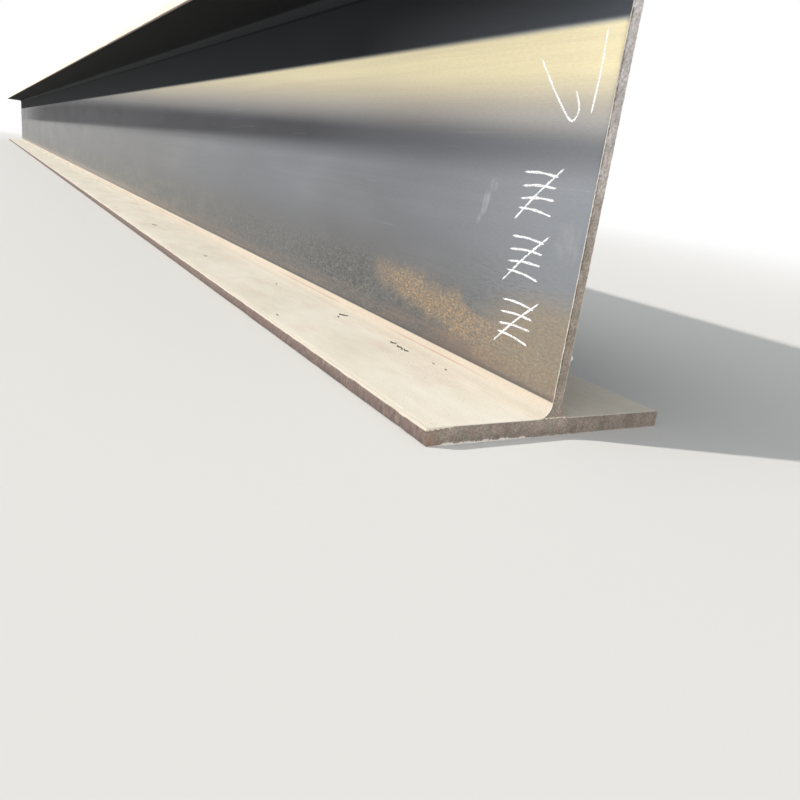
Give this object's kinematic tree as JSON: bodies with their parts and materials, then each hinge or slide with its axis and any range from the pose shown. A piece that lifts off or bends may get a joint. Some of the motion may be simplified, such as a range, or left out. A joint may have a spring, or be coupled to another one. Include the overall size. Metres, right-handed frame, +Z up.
{
  "type": "steel h-beam",
  "caption": "Hot-rolled steel H-beam: wide parallel flanges joined by a thinner upright web, with rounded roots, slightly rounded toes and square sawn ends, standing on its lower flange.",
  "frame": {"origin": "middle of the lower flange's underside, on the floor that the beam stands on", "axes": "+X along the beam, from the sawn end that the picture shows to the far one, +Y across the flanges, +Z up the web"},
  "size_m": [10, 0.3, 0.488],
  "materials": {
    "hot_rolled_steel": "blue-grey mill scale, satin, with pale dust on the lower flange, brown rust on the toes and near the roots, and sawn ends"
  },
  "bodies": {
    "root": {"h_beam": "hot_rolled_steel"}
  },
  "joints": []
}
